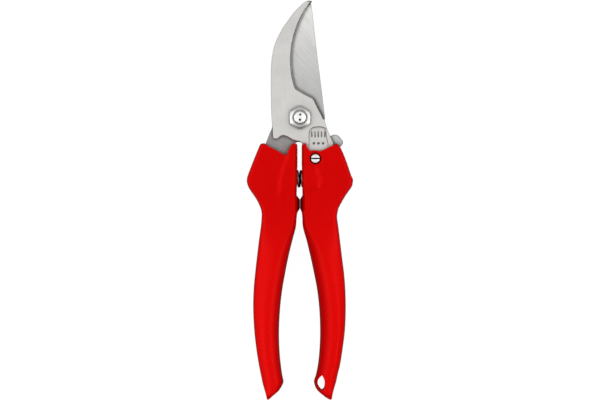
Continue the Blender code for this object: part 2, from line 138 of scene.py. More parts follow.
def arc(middle, radius, start, end, steps):
    """Points along an arc between two angles in degrees, both ends included."""
    turns = [radians(start + (end - start) * k / steps) for k in range(steps + 1)]
    return [(middle[0] + radius * cos(a), middle[1] + radius * sin(a)) for a in turns]


def circle(middle, radius, sides=48):
    return arc(middle, radius, 0, 360 - 360 / sides, sides - 1)


def polar(middle, places):
    """Points given as (radius, angle in degrees) about a middle."""
    return [(middle[0] + r * cos(radians(a)), middle[1] + r * sin(radians(a))) for r, a in places]


def outline(*runs, gap=0.01):
    """Runs of points joined into one closed outline, without repeats where they meet."""
    out = []
    for run in runs:
        for p in run:
            if not out or hypot(p[0] - out[-1][0], p[1] - out[-1][1]) > gap:
                out.append(p)
    if hypot(out[0][0] - out[-1][0], out[0][1] - out[-1][1]) <= gap:
        out.pop()
    return out


def even(points, step):
    """A closed outline resampled at even steps, its corners only slightly cut."""
    total = [0.0]
    ring = [*points, points[0]]
    for a, b in zip(ring, ring[1:]):
        total.append(total[-1] + hypot(b[0] - a[0], b[1] - a[1]))
    count = int(total[-1] / step)
    out, at = [], 0
    for k in range(count):
        d = total[-1] * k / count
        while total[at + 1] < d:
            at += 1
        share = (d - total[at]) / max(total[at + 1] - total[at], 1e-9)
        a, b = ring[at], ring[at + 1]
        out.append((a[0] + (b[0] - a[0]) * share, a[1] + (b[1] - a[1]) * share))
    return out


def inward(points, least=0.7):
    """For each point, the direction into the outline, stretched at corners like a mitre.

    least keeps the stretch at a sharp corner within bounds."""
    area = sum(
        a[0] * b[1] - b[0] * a[1] for a, b in zip(points, [*points[1:], points[0]])
    )
    side = -1 if area > 0 else 1
    out = []
    for i, p in enumerate(points):
        before, after = points[i - 1], points[(i + 1) % len(points)]
        d1 = Vector((p[0] - before[0], p[1] - before[1])).normalized()
        d2 = Vector((after[0] - p[0], after[1] - p[1])).normalized()
        n = Vector((d1.y + d2.y, -d1.x - d2.x)) * side
        if n.length < 1e-6:
            n = Vector((d1.y, -d1.x)) * side
        n.normalize()
        stretch = max(n.dot(Vector((d1.y, -d1.x)) * side), least)
        out.append((n.x / stretch, n.y / stretch))
    return out


def inset(points, amounts):
    """The outline pulled in by one amount, or by an amount for each point."""
    if not hasattr(amounts, "__len__"):
        amounts = [amounts] * len(points)
    return [
        (p[0] + d[0] * a, p[1] + d[1] * a)
        for p, d, a in zip(points, inward(points), amounts)
    ]


def ease_step(x, low, high):
    """0 at low, 1 at high, eased between them and level beyond."""
    t = min(max((x - low) / (high - low), 0.0), 1.0)
    return t * t * (3 - 2 * t)


# ------------------------------------------------------------------ meshes

def shade(made, sharp):
    """Smooth but for sharp edges; level faces stay flat so that bevels don't bleed in."""
    for face in made.data.polygons:
        face.use_smooth = True
    made.data.set_sharp_from_angle(angle=radians(sharp))
    for face in made.data.polygons:
        if abs(face.normal.z) > 0.99999 and len(face.vertices) > 4:
            face.use_smooth = False


def new_object(name, bm, sharp=SHARP):
    """An object from a bmesh in millimetres, smooth but for its sharp edges."""
    bmesh.ops.recalc_face_normals(bm, faces=bm.faces)
    if bm.calc_volume(signed=True) < 0:
        bmesh.ops.reverse_faces(bm, faces=bm.faces)
    bmesh.ops.scale(bm, vec=(MM, MM, MM), verts=bm.verts)
    mesh = bpy.data.meshes.new(name)
    bm.to_mesh(mesh)
    bm.free()
    made = bpy.data.objects.new(name, mesh)
    bpy.context.scene.collection.objects.link(made)
    shade(made, sharp)
    return made


def rings_mesh(rings, closed=False):
    """A bmesh skin over stacked rings of equal length, capped unless closed."""
    bm = bmesh.new()
    rows = [[bm.verts.new(p) for p in ring] for ring in rings]
    count = len(rows[0])
    pairs = list(zip(rows, rows[1:]))
    if closed:
        pairs.append((rows[-1], rows[0]))
    else:
        bm.faces.new(list(reversed(rows[0])))
        bm.faces.new(rows[-1])
    for low, high in pairs:
        for i in range(count):
            j = (i + 1) % count
            bm.faces.new((low[i], low[j], high[j], high[i]))
    return bm


def plate(name, points, layers, sharp=SHARP):
    """A plate from (inset, height) layers, lowest first."""
    rings = [[(*p, z) for p in inset(points, amount)] for amount, z in layers]
    return new_object(name, rings_mesh(rings), sharp)


def prism(name, points, low, high):
    return new_object(name, rings_mesh([[(*p, low) for p in points], [(*p, high) for p in points]]))


def level_ring(middle, radius, z, sides=ROUND_SIDES):
    """Points on a level circle."""
    turns = [2 * pi * k / sides for k in range(sides)]
    return [(middle[0] + radius * cos(a), middle[1] + radius * sin(a), z) for a in turns]


def lathe(name, middle, path, sides=ROUND_SIDES, closed=False, sharp=SHARP):
    """A turned piece about a vertical line, path of (radius, height) from low to high."""
    rings = [level_ring(middle, radius, z, sides) for radius, z in path]
    return new_object(name, rings_mesh(rings, closed), sharp)


def boolean(body, operation, *tools, sharp=SHARP):
    """Adds or cuts the tools in turn, and bakes the result into the body's mesh."""
    for tool in tools:
        change = body.modifiers.new("boolean", "BOOLEAN")
        change.operation = operation
        change.solver = "EXACT"
        change.object = tool
    graph = bpy.context.evaluated_depsgraph_get()
    mesh = bpy.data.meshes.new_from_object(body.evaluated_get(graph))
    old = body.data
    body.modifiers.clear()
    body.data = mesh
    mesh.name = body.name
    bpy.data.meshes.remove(old)
    shade(body, sharp)
    for tool in tools:
        bpy.data.objects.remove(tool, do_unlink=True)


def cut(body, *tools, sharp=SHARP):
    boolean(body, "DIFFERENCE", *tools, sharp=sharp)


def hole(middle, radius, low, high, sides=48):
    """The cutter for a round hole."""
    return prism("hole", circle(middle, radius, sides), low, high)


def dress(made, body, look, node):
    """Gives a piece its material and its body, and hides the CAD node that it stands for."""
    made.data.materials.clear()
    made.data.materials.append(look)
    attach(made, body)
    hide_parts(node)


# --------------------------------------------------------------- materials

class Look:
    """A small wrapper that makes node trees short to write."""

    def __init__(self, name, roughness, metallic, **sockets):
        self.material = bpy.data.materials.new(name)
        self.material.use_nodes = True
        self.tree = self.material.node_tree
        self.shader = self.tree.nodes["Principled BSDF"]
        self.shader.inputs["Roughness"].default_value = roughness
        self.shader.inputs["Metallic"].default_value = metallic
        for key, value in sockets.items():
            self.shader.inputs[key.replace("_", " ")].default_value = value
        self.coords = self.tree.nodes.new("ShaderNodeTexCoord")

    def link(self, a, b):
        self.tree.links.new(a, b)

    def place(self, scale=(1, 1, 1), turn=0.0):
        """Object coordinates, turned about Z and then scaled."""
        turned = self.tree.nodes.new("ShaderNodeMapping")
        turned.inputs["Rotation"].default_value = (0, 0, radians(turn))
        self.link(self.coords.outputs["Object"], turned.inputs["Vector"])
        scaled = self.tree.nodes.new("ShaderNodeMapping")
        scaled.inputs["Scale"].default_value = scale
        self.link(turned.outputs["Vector"], scaled.inputs["Vector"])
        return scaled.outputs["Vector"]

    def axis(self, name, of="Object"):
        """One axis of the object coordinates, or of the normal."""
        node = self.tree.nodes.new("ShaderNodeSeparateXYZ")
        self.link(self.coords.outputs[of], node.inputs["Vector"])
        return node.outputs[name]

    def noise(self, at, scale, detail):
        node = self.tree.nodes.new("ShaderNodeTexNoise")
        node.inputs["Scale"].default_value = scale
        node.inputs["Detail"].default_value = detail
        node.inputs["Roughness"].default_value = 0.55
        self.link(at, node.inputs["Vector"])
        return node.outputs["Fac"]

    def spread(self, value, low, high, to_low=0.0, to_high=1.0):
        """The value mapped so that low gives to_low and high gives to_high."""
        node = self.tree.nodes.new("ShaderNodeMapRange")
        node.inputs["From Min"].default_value = low
        node.inputs["From Max"].default_value = high
        node.inputs["To Min"].default_value = to_low
        node.inputs["To Max"].default_value = to_high
        self.link(value, node.inputs["Value"])
        return node.outputs["Result"]

    def math(self, kind, a, b=0.0):
        node = self.tree.nodes.new("ShaderNodeMath")
        node.operation = kind
        for socket, value in zip(node.inputs, (a, b)):
            if isinstance(value, (int, float)):
                socket.default_value = value
            else:
                self.link(value, socket)
        return node.outputs["Value"]

    def mix(self, share, a, b):
        """Colour a where share is 0 and colour b where it is 1."""
        node = self.tree.nodes.new("ShaderNodeMix")
        node.data_type = "RGBA"
        colour_a, colour_b, colour_out = node.inputs[6], node.inputs[7], node.outputs[2]
        self.link(share, node.inputs["Factor"])
        for socket, value in zip((colour_a, colour_b), (a, b)):
            if isinstance(value, tuple):
                socket.default_value = (*value, 1.0)
            else:
                self.link(value, socket)
        return colour_out

    def colour(self, value, crevice=0.0, most=0.92):
        """Sets the colour, with painted shade in crevices and beside other pieces within that reach."""
        if crevice:
            # painted shade: darker where nearby surfaces close in round a point
            near = self.tree.nodes.new("ShaderNodeAmbientOcclusion")
            near.samples = 16
            near.inputs["Distance"].default_value = crevice
            painted_shade = self.spread(near.outputs["AO"], 0.35, 0.95, most, 0.0)
            value = self.mix(painted_shade, value, (0.02, 0.021, 0.022))
        self.link(value, self.shader.inputs["Base Color"])

    def rough(self, value):
        self.link(value, self.shader.inputs["Roughness"])

    def bump(self, value, strength, distance):
        node = self.tree.nodes.new("ShaderNodeBump")
        node.inputs["Strength"].default_value = strength
        node.inputs["Distance"].default_value = distance
        self.link(value, node.inputs["Height"])
        self.link(node.outputs["Normal"], self.shader.inputs["Normal"])


def satin_hook():
    """Light satin steel, a little warm, with faint lines along its length, and painted shade in its recesses
    and round the nut.
    """
    look = Look("satin_hook_steel", 0.42, 1.0)
    cloudy = look.spread(look.noise(look.place(), 90.0, 4.0), 0.35, 0.65)
    lines = look.noise(look.place((1400.0, 60.0, 900.0)), 1.0, 2.0)
    warm = look.mix(cloudy, (0.606, 0.596, 0.578), (0.668, 0.658, 0.641))
    lined = look.mix(look.spread(lines, 0.3, 0.7, 0.0, 0.35), warm, (0.565, 0.555, 0.54))
    # painted shade in the stamp's recesses and beside the nut
    look.colour(lined, 0.0016, 0.8)
    look.rough(look.spread(look.noise(look.place(), 160.0, 3.0), 0.3, 0.7, 0.36, 0.50))
    look.bump(lines, 0.12, 0.00004)
    return look.material


def brushed_blade():
    """Brighter near the tip and in painted shade toward the tang, more coarsely brushed to the tang, and in
    painted shade beside the hook.
    """
    look = Look("brushed_blade_steel", 0.42, 1.0)
    along = look.axis("Y")
    shade_toward_tang = look.spread(along, 0.092, 0.050)
    shade_at_tang = look.spread(along, 0.040, 0.030)
    strokes = look.noise(look.place((70.0, 1500.0, 900.0), 48.0), 1.0, 3.0)
    stains = look.spread(look.noise(look.place(), 120.0, 4.0), 0.45, 0.7, 0.0, 0.3)
    # painted shade: darker from the tip down to the pivot, and darker still on the tang
    light = look.mix(shade_toward_tang, (0.81, 0.80, 0.785), (0.49, 0.49, 0.48))
    base = look.mix(shade_at_tang, light, (0.27, 0.27, 0.265))
    weight = look.spread(along, 0.092, 0.045, 0.64, 1.0)
    coarse = look.spread(look.math("MULTIPLY", strokes, weight), 0.33, 0.65, 0.0, 0.55)
    worn = look.mix(coarse, base, (0.44, 0.44, 0.43))
    look.colour(look.mix(stains, worn, (0.42, 0.42, 0.41)), 0.0018, 0.75)
    look.rough(look.spread(strokes, 0.3, 0.7, 0.34, 0.52))
    look.bump(strokes, 0.25, 0.00006)
    return look.material


def moulded_red():
    """Red plastic with a fine grain. Part of its shading is in the colour, not the light."""
    look = Look("moulded_red_plastic", 0.34, 0.0, Specular_IOR_Level=0.75,
                Specular_Tint=(1.0, 0.035, 0.03, 1.0))
    patches = look.spread(look.noise(look.place(), 60.0, 3.0), 0.3, 0.7)
    grain = look.noise(look.place(), 3200.0, 2.0)
    upper = look.mix(patches, (0.595, 0.0002, 0.0002), (0.632, 0.0003, 0.0003))
    # painted light: the grips are a little paler than the upper part
    grips = look.mix(look.spread(look.axis("Y"), -0.006, -0.036), upper, (0.71, 0.0012, 0.0010))
    # painted light and shade: the outer walls are the palest, and the walls that face each other the darkest
    outward = look.math("MULTIPLY", look.axis("X", "Normal"), look.math("SIGN", look.axis("X")))
    walls = look.mix(look.spread(outward, 0.2, 0.75), grips, (0.93, 0.0014, 0.0012))
    look.colour(look.mix(look.spread(outward, -0.60, -0.85), walls, (0.49, 0.0003, 0.0003)))
    look.rough(look.spread(look.noise(look.place(), 240.0, 3.0), 0.3, 0.7, 0.33, 0.44))
    look.bump(grain, 0.10, 0.00003)
    return look.material


def metal(name, light, dark, roughness, scale=220.0):
    """Plated or plain steel in soft patches of two shades, with painted shade in its crevices."""
    look = Look(name, roughness, 1.0)
    patches = look.noise(look.place(), scale, 4.0)
    look.colour(look.mix(look.spread(patches, 0.35, 0.7), light, dark), 0.002)
    look.rough(look.spread(patches, 0.3, 0.7, roughness * 0.85, roughness * 1.25))
    look.bump(look.noise(look.place(), scale * 6, 2.0), 0.08, 0.00003)
    return look.material


def turned_nut():
    """Bright on its two sides, with painted shade toward its upper and lower corners."""
    look = Look("turned_nut_steel", 0.33, 1.0)
    patches = look.noise(look.place(), 220.0, 4.0)
    off_middle = look.math("ABSOLUTE", look.math("SUBTRACT", look.axis("Y"), PIVOT[1] * MM))
    bright = look.mix(look.spread(patches, 0.35, 0.7), (0.95, 0.95, 0.94), (0.88, 0.88, 0.87))
    # painted shade: darker above and below the pivot's middle
    look.colour(look.mix(look.spread(off_middle, 0.0022, 0.0036), bright, (0.50, 0.50, 0.49)), 0.002)
    look.rough(look.spread(patches, 0.3, 0.7, 0.28, 0.41))
    look.bump(look.noise(look.place(), 1320.0, 2.0), 0.08, 0.00003)
    return look.material


def grey_nylon():
    look = Look("grey_nylon", 0.55, 0.0)
    patches = look.noise(look.place(), 700.0, 3.0)
    look.colour(look.mix(look.spread(patches, 0.3, 0.7), (0.38, 0.38, 0.38), (0.48, 0.48, 0.48)))
    look.bump(patches, 0.2, 0.00004)
    return look.material


# ---------------------------------------------------------- the hook plate

def hook_outline():
    """The counter blade and its tang, from the tip down the cutting side and back up."""
    inner = smooth([(5.75, 94.6), (5.3, 93.9), (2.9, 90.9), (0.6, 86.6), (-1.3, 81.9), (-2.7, 77.3),
                    (-3.6, 72.5), (-4.0, 67.4), (-3.8, 62.5), (-3.1, 57.6), (-1.9, 53.6)])
    shoulder = smooth([(-1.6, 53.2), (0.6, 51.9), (3.4, 50.3), (6.0, 49.0), (6.8, 48.3), (7.9, 46.1),
                       (9.5, 42.9), (11.1, 39.8), (12.6, 34.8), (14.7, 29.6), (15.8, 27.2)])
    tang_out = smooth([(15.8, 27.2), (16.9, 21.0), (17.3, 13.0), (16.9, 5.0), (15.9, -2.0),
                       (15.6, -6.5), (13.9, -9.0), (11.9, -7.5)])
    tang_in = smooth([(11.9, -7.5), (11.3, -1.0), (11.5, 6.0), (11.3, 12.0), (9.9, 16.0),
                      (6.5, 16.9), (3.2, 17.6), (2.1, 20.5), (2.0, 24.0), (1.0, 27.0)])
    lower = smooth([(1.0, 27.0), (-0.2, 27.85), (-2.1, 28.2), (-4.1, 29.1), (-6.3, 30.3), (-8.2, 30.7),
                    (-9.5, 30.2), (-10.4, 29.4), (-11.6, 29.0), (-12.8, 29.4)])
    back = smooth([(-12.8, 29.4), (-13.0, 31.4), (-13.1, 34.0), (-13.45, 38.0), (-13.65, 43.0),
                   (-13.85, 52.0), (-13.85, 59.0), (-13.7, 64.5), (-13.1, 69.5), (-12.0, 74.0),
                   (-10.3, 78.0), (-8.2, 81.9), (-5.6, 85.6), (-2.7, 89.5), (1.1, 93.3), (2.7, 94.5),
                   (4.4, 94.9), (5.75, 94.6)])
    return even(outline(inner, shoulder, tang_out, tang_in, lower, back), 0.45)


def hook_bevel(x, y):
    """How much of the broad bevel a point of the hook's outline has, from 0 to 1.

    The cutting side and the shoulder have it, narrower toward the tip."""
    on_back = y >= 78 and x <= 0.5 * (y - TIP_Y) + 3.2
    if y <= 38.5 or x <= -4.6 or on_back:
        return 0.0
    return ease_step(y, 36.5, 40.0) * (1.0 - 0.55 * ease_step(y, 84.0, 93.0))


def recess(points, top, depth, slope=0.22, foot=None):
    """A cutter with sloping sides that sinks into a face at top.

    foot is (height along the plate, depth there) where the floor comes up."""
    foot_y, foot_depth = foot or (0.0, depth)
    high_y = max(p[1] for p in points)
    floor = []
    for x, y in inset(points, slope):
        share = (y - foot_y) / (high_y - foot_y)
        floor.append((x, y, top - foot_depth - (depth - foot_depth) * share))
    mouth = [(*p, top + 0.3) for p in inset(points, -0.7 * slope)]
    return new_object("recess", rings_mesh([floor, mouth]))


def lozenge(x, y, half_wide=0.42, shoulder=0.9, half_high=1.8):
    return [(x - half_wide, y - shoulder), (x, y - half_high), (x + half_wide, y - shoulder),
            (x + half_wide, y + shoulder), (x, y + half_high), (x - half_wide, y + shoulder)]


def hook_stamp(top):
    """Cutters for a plain stamp: an arched panel with five lozenges over three dots."""
    arch = smooth([(4.0, 23.5), (4.1, 27.5), (4.2, 31.6), (4.7, 33.5), (6.0, 34.5), (8.6, 35.0),
                   (11.0, 34.7), (12.3, 33.9), (12.6, 31.0), (13.4, 27.5), (13.8, 23.5)], 6)
    panel = recess(arch, top, 0.85, 0.36, foot=(23.5, 0.02))
    lozenges = [recess(lozenge(5.6 + 1.55 * k, 31.3), top, 1.1) for k in range(5)]
    dots = [recess(circle((6.6 + 2.2 * k, 27.0), 0.62, 20), top, 1.0) for k in range(3)]
    return [panel, *lozenges, *dots]


def hook_plate(look):
    points = hook_outline()
    wide = [hook_bevel(x, y) for x, y in points]
    low, high = HOOK_LOW, HOOK_HIGH
    made = plate(
        "hook_plate",
        points,
        [
            (0.18, low),
            (0.0, low + 0.18),
            (0.0, high - 1.05),
            ([0.02 + 0.02 * w for w in wide], high - 0.95),
            ([0.05 + 0.60 * w for w in wide], high - 0.22),
            ([0.10 + 0.68 * w for w in wide], high - 0.10),
            ([0.26 + 0.76 * w for w in wide], high),
        ],
        sharp=HOOK_SHARP,
    )
    cut(
        made,
        hole(PIVOT, 3.3, low - PAST, high + PAST, 64),
        hole(CATCH_AXIS, 2.3, low - PAST, high + PAST),
        hole(HOOK_SCREW, TANG_HOLE_R, low - PAST, high + PAST),
        *hook_stamp(high),
        sharp=HOOK_SHARP,
    )
    dress(made, HOOK, look, "counter_blade")


# --------------------------------------------------------- the blade plate

def blade_outline():
    """The cutting blade and its tang, from the tip down the edge and back up the spine."""
    edge = smooth([(5.1, 94.2), (2.0, 89.9), (-0.9, 84.6), (-3.3, 79.0), (-5.0, 73.0), (-6.0, 66.5),
                   (-6.1, 60.0), (-5.7, 54.0)])
    heel = smooth([(-5.7, 54.0), (-6.4, 51.2), (-9.0, 48.2), (-11.6, 44.0), (-12.7, 38.5),
                   (-13.5, 34.0), (-14.35, 32.1), (-16.3, 27.1)])
    tang_out = smooth([(-16.3, 27.1), (-17.0, 21.0), (-17.6, 13.0), (-17.2, 5.0), (-16.2, -2.0),
                       (-15.9, -6.5), (-14.2, -9.0), (-12.2, -7.5)])
    tang_in = smooth([(-12.2, -7.5), (-11.6, -1.0), (-11.8, 6.0), (-11.6, 12.0), (-10.2, 16.0),
                      (-6.8, 17.6), (-3.4, 19.4), (-2.9, 22.5), (-2.3, 26.9), (-1.5, 27.4)])
    # round the pivot: a plain disc, then a tooth between the catch's two notches
    low_disc = arc(PIVOT, 11.6, 263, 289, 24)
    first_notch = arc(PIVOT, 9.0, 296, 312, 14)
    tooth = arc(PIVOT, 10.9, 316, 323, 8)
    second_notch = arc(PIVOT, 9.0, 327, 344, 14)
    corner = smooth([(9.6, 36.6), (11.2, 37.0), (11.85, 38.6), (11.67, 41.0)])
    spine = smooth([(11.67, 41.0), (10.7, 49.0), (9.7, 57.1), (8.45, 66.7), (7.3, 76.7),
                    (6.3, 85.7), (5.75, 90.5), (5.4, 92.8), (5.1, 94.2)])
    disc = [low_disc, first_notch, tooth, second_notch]
    return even(outline(edge, heel, tang_out, tang_in, *disc, corner, spine), 0.42)


def blade_grind(x, y):
    """How much of the hollow grind a point of the blade's outline has, from 0 to 1."""
    on_spine = x > 6.3 - (94.2 - y) * 0.62 and y <= 88
    if x >= 3.4 or y <= 52.5 or on_spine:
        return 0.0
    return ease_step(y, 52.5, 58.0) * (1 - ease_step(y, 90.0, 94.0))


def blade_plate(look):
    """A plate whose edge is hollow ground at the back, up to the plate's full thickness."""
    reach, edge_thick, edge_inset = 4.0, 0.25, 0.14
    points = blade_outline()
    ground = [blade_grind(x, y) for x, y in points]
    low, high = BLADE_LOW, BLADE_HIGH
    layers = []
    for share in (1.0, 0.78, 0.56, 0.36, 0.18, 0.05):
        rise = (high - edge_thick - low) * (1 - share) ** 0.8
        least = edge_inset if share == 1.0 else 0.0
        layers.append(([least + reach * share * g for g in ground], low + rise))
    made = plate("blade_plate", points, [*layers, (0.0, high - 0.16), (0.12, high)], sharp=BLADE_SHARP)
    screw_holes = [hole(at, TANG_HOLE_R, low - PAST, high + PAST) for at in BLADE_SCREWS]
    cut(made, hole(PIVOT, 4.3, low - PAST, high + PAST, 64), *screw_holes, sharp=BLADE_SHARP)
    dress(made, BLADE, look, "cutting_blade")


# ------------------------------------------------------------ the handles

# Each row gives a height, then how far the inner and outer edges stand from the middle.
# The two stops, which meet when the handles close, leave a hair's breadth between them.
STOP = 0.04
LEAST_GAP = 0.03
STATIONS = {
    LEFT: [
        # the end of the grip
        (-94.9, 14.9, 15.4), (-94.2, 13.9, 15.9), (-93.0, 12.6, 16.2), (-91.2, 10.4, 16.7),
        (-89.4, 9.1, 17.2), (-87.4, 8.1, 17.8), (-85.9, 7.9, 18.1), (-83.0, 8.5, 18.7),
        # the grip
        (-78.0, 9.2, 19.7), (-71.0, 9.8, 20.8), (-62.0, 10.0, 21.8), (-52.0, 9.5, 22.3),
        (-43.0, 8.5, 22.1), (-35.0, 7.1, 21.4), (-27.0, 5.5, 20.5), (-19.5, 3.7, 19.6),
        (-13.0, 2.0, 18.7), (-8.6, 1.6, 18.3), (-6.0, 1.2, 18.3),
        # the stop, then the shoulder beside the spring
        (-3.9, STOP, 18.8), (-1.9, STOP, 19.6), (0.2, STOP, 20.7), (2.2, 1.5, 22.0),
        (4.2, 1.5, 23.4), (6.4, 1.3, 24.7), (8.6, 1.2, 25.3), (10.0, 1.2, 25.3),
        (12.0, 1.2, 24.8), (17.0, 1.2, 22.9), (21.0, 1.2, 21.3), (24.6, 1.2, 19.8),
        (26.3, 1.3, 19.1), (26.9, 1.8, 18.3),
    ],
    RIGHT: [
        # the end of the grip, wider on its inner side round the hang hole
        (-94.9, 14.1, 14.8), (-94.2, 12.7, 15.3), (-93.0, 10.9, 15.5), (-91.2, 8.8, 15.9),
        (-89.4, 7.5, 16.4), (-87.4, 6.8, 17.0), (-85.9, 6.7, 17.4), (-83.0, 7.6, 18.0),
        # the grip
        (-78.0, 8.6, 19.2), (-71.0, 9.3, 20.3), (-62.0, 9.6, 21.4), (-52.0, 9.2, 21.8),
        (-43.0, 8.2, 21.6), (-35.0, 6.7, 21.0), (-27.0, 5.0, 20.0), (-19.5, 3.2, 19.1),
        (-13.0, 1.4, 18.3), (-8.6, 1.1, 17.7), (-6.0, 0.8, 17.9),
        # the stop, then the shoulder beside the spring
        (-3.9, STOP, 18.4), (-1.9, STOP, 19.4), (0.2, STOP, 20.6), (2.2, 1.1, 21.8),
        (4.2, 1.1, 23.2), (6.4, 0.9, 24.7), (8.6, 0.8, 25.2), (10.0, 0.8, 25.2),
        (12.0, 0.8, 24.3), (17.0, 0.8, 22.6), (21.0, 0.8, 21.1), (24.6, 0.8, 19.5),
        (26.3, 0.9, 18.5), (26.9, 1.4, 17.7),
    ],
}
HANG_HOLE = [(10.4, -83.2), (11.4, -85.0), (11.8, -87.2), (11.5, -89.4), (10.5, -90.4),
             (9.2, -89.2), (8.4, -87.4), (8.7, -85.2)]

# the raised pad over the spring: how far it reaches from the middle, by height, and the
# heights between which it fades in and out again
PAD_HIGH = 1.0
PAD_REACH = {
    LEFT: [(-8.0, 9.8), (3.0, 10.4), (8.0, 10.1), (14.0, 8.8), (20.0, 6.6), (26.0, 4.9)],
    RIGHT: [(0.5, 3.0), (2.4, 6.2), (6.5, 9.4), (10.0, 9.9), (14.0, 8.6), (17.0, 7.2)],
}
PAD_FADE = {LEFT: (-5.0, 10.0, 23.0, 27.0), RIGHT: (0.5, 8.0, 15.0, 18.0)}

# what the grip adds to the inner slope's width and drop, and how strongly the slope curves;
# the right grip's slope is the broader and deeper one
INNER_SLOPE = {LEFT: (3.4, 1.8, 1.7), RIGHT: (5.2, 3.3, 1.9)}
CROWN = 1.7                      # how strongly the slope on the outer side curves


def read_table(table, y):
    """A value read from (y, value) rows, lowest y first, eased between them."""
    if y <= table[0][0]:
        return table[0][1]
    for (y0, v0), (y1, v1) in zip(table, table[1:]):
        if y <= y1:
            return v0 + (v1 - v0) * ease_step(y, y0, y1)
    return table[-1][1]


def pad_height(side, x, y):
    fade_in, full, still_full, gone = PAD_FADE[side]
    there = ease_step(y, fade_in, full) * (1 - ease_step(y, still_full, gone))
    return PAD_HIGH * there * ease_step(read_table(PAD_REACH[side], y) - x, -0.9, 1.7)


def inner_part(y, inner, side, top, slim, grip):
    """A lip that turns in from the inner wall, then a slope up to the flat.

    Returns the points, where the flat starts, and the slope's width."""
    wall = inner + 0.45 * grip * slim + 0.15
    # the stops stand low on the inner wall, so the wall above them keeps back
    wall = max(wall, 1.5 * ease_step(y, -7.5, -4.5) * (1 - ease_step(y, 2.0, 4.0)))
    more_wide, more_drop, curve = INNER_SLOPE[side]
    wide = (1.5 + more_wide * grip) * slim
    drop = (0.7 + more_drop * grip) * slim
    lip_wide, lip_high = 0.9 * slim, 1.3 * slim
    # the lip stops turning where it is as steep as the slope's start
    bend = atan2(lip_high / lip_wide, curve * drop / wide)
    points = []
    for k in range(7):
        a = bend * k / 6
        z = top - drop - lip_high * (sin(bend) - sin(a))
        points.append((wall + lip_wide * (1 - cos(a)), z))
    foot = points[-1][0]
    flat_from = max(inner + wide, foot + 0.6 * slim)
    for k in range(1, 13):
        share = k / 12
        points.append((foot + (flat_from - foot) * share, top - drop * (1 - share) ** curve))
    return points, flat_from, wide


def outer_part(outer, top, slim, grip, flat_from, room):
    """The flat, on the grip a gentle slope, and the rounded outer edge.

    room is the width beyond the inner slope."""
    edge = (1.5 + 0.7 * grip) * slim
    lean = 0.5 * slim
    wide = (room - edge - lean) * grip**1.5
    drop = 2.2 * slim * grip**1.5
    tilt = atan2(CROWN * drop, wide)
    edge_from = outer - lean - edge * (1 - sin(tilt))
    flat_to = edge_from - wide
    points = [(flat_from + (flat_to - flat_from) * k / 32, top) for k in range(1, 33)]
    for k in range(1, 13):
        share = k / 12
        points.append((flat_to + wide * share, top - drop * share**CROWN))
    for k in range(1, 9):
        a = tilt + (pi / 2 - tilt) * k / 8
        z = top - drop - edge * (cos(tilt) - cos(a))
        points.append((edge_from + edge * (sin(a) - sin(tilt)), z))
    return points


def grip_section(y, inner, outer, thick, side):
    """One section across a handle, the same front and back but for the pad in front."""
    width = outer - inner
    slim = min(1.0, width / 12)
    grip = 1 - ease_step(y, -29.0, -4.0)
    top = MID_Z + thick / 2
    half, flat_from, inner_wide = inner_part(y, inner, side, top, slim, grip)
    half += outer_part(outer, top, slim, grip, flat_from, width - inner_wide)
    front = [(side * x, y, z + pad_height(side, x, y)) for x, z in half]
    back = [(side * x, y, 2 * MID_Z - z) for x, z in reversed(half)]
    return [*front, (side * outer, y, MID_Z), *back, (side * inner, y, MID_Z)]


def grip(name, side):
    """A handle's whole body, thinner toward its two ends."""
    rows = smooth(STATIONS[side], 8)
    first, last = rows[0][0], rows[-1][0]
    rings = []
    for y, inner, outer in rows:
        low_end = 1 - ease_step(y, first, first + 3.4)
        top_end = 1 - ease_step(last - y, 0.0, 1.4)
        thick = HANDLE_HIGH - HANDLE_LOW - 4.4 * low_end**1.5 - 1.5 * top_end**1.5
        rings.append(grip_section(y, max(inner, LEAST_GAP), outer, thick, side))
    return new_object(name, rings_mesh(rings), GRIP_SHARP)


def spring_pocket(side):
    """The cutter for one spring pocket, with the moulded peg left standing."""
    radius, floor, peg_radius, peg_long, point = 6.0, 9.5, 3.2, 2.6, 0.001
    path = [(point, -PAST), (radius, -PAST), (radius, floor), (peg_radius, floor),
            (peg_radius, floor - peg_long), (point, floor - peg_long)]
    rings = []
    for reach, depth in path:
        turns = [2 * pi * k / 48 for k in range(48)]
        rings.append([(side * depth, SPRING_Y + reach * cos(a), MID_Z + reach * sin(a)) for a in turns])
    return new_object("pocket", rings_mesh(rings))


def screw_holes(at):
    """Cutters for a tang screw let into a handle's back."""
    return [hole(at, SCREW_HEAD_R, -PAST, SCREW_HEAD_TOP), hole(at, SCREW_SHANK_R, -PAST, SCREW_SHANK_TOP)]


def left_grip(look):
    body = grip("left_grip", LEFT)
    notch = [(-17.4, 28.0), (-16.3, 26.5), (-15.2, 25.6), (-13.6, 24.8), (-11.2, 23.6), (-8.8, 22.2),
             (-6.4, 20.9), (-5.8, 22.8), (-4.6, 25.4), (-3.5, 26.9), (-3.5, 28.0)]
    slot = outline(
        smooth([(-16.6, 27.1), (-17.3, 21.0), (-17.9, 13.0), (-17.5, 5.0), (-16.5, -2.0),
                (-16.2, -6.5), (-14.2, -9.4), (-11.9, -7.5)]),
        smooth([(-11.9, -7.5), (-11.3, -1.0), (-11.5, 6.0), (-11.3, 12.0), (-9.9, 15.7),
                (-6.5, 17.3), (-3.1, 19.3), (-2.6, 22.5), (-2.0, 26.9)]),
        [(-2.0, 30.0), (-17.2, 30.0)],
    )
    tools = [
        prism("notch", notch, -PAST, HANDLE_HIGH + PAST),
        prism("slot", slot, BLADE_LOW - 0.3, BLADE_HIGH + 0.3),
        spring_pocket(LEFT),
    ]
    for at in BLADE_SCREWS:
        tools += screw_holes(at)
    cut(body, *tools, sharp=GRIP_SHARP)
    dress(body, BLADE, look, "left_handle")


